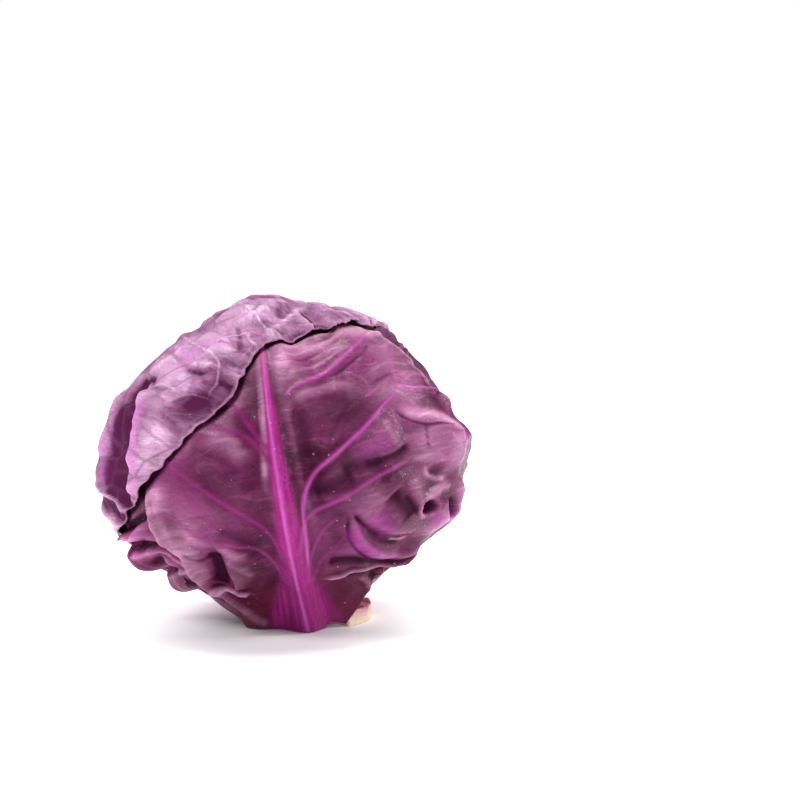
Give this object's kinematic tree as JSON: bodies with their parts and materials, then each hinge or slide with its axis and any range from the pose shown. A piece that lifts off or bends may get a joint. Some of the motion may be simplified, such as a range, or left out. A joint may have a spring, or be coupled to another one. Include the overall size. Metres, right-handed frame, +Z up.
{
  "type": "red cabbage head",
  "caption": "Head of red cabbage: ribbed, ruffled wrapper leaves folded over one another round a dense middle, on a pale cut stalk.",
  "frame": {"origin": "middle of the stalk's cut face, which the head stands on", "axes": "+Z up from the cut face to the crown, -Y towards the broad front leaf, +X to its right; the crown leans a little to -X"},
  "size_m": [0.1628, 0.1553, 0.1417],
  "materials": {
    "leaf": "stands for purple leaf: satin under a thin wax bloom, with pale magenta ribs and veins",
    "stalk": "stands for pale cut stalk: moist, slightly fibrous"
  },
  "bodies": {
    "root": {"head": "leaf", "stalk": "stalk"}
  },
  "joints": []
}
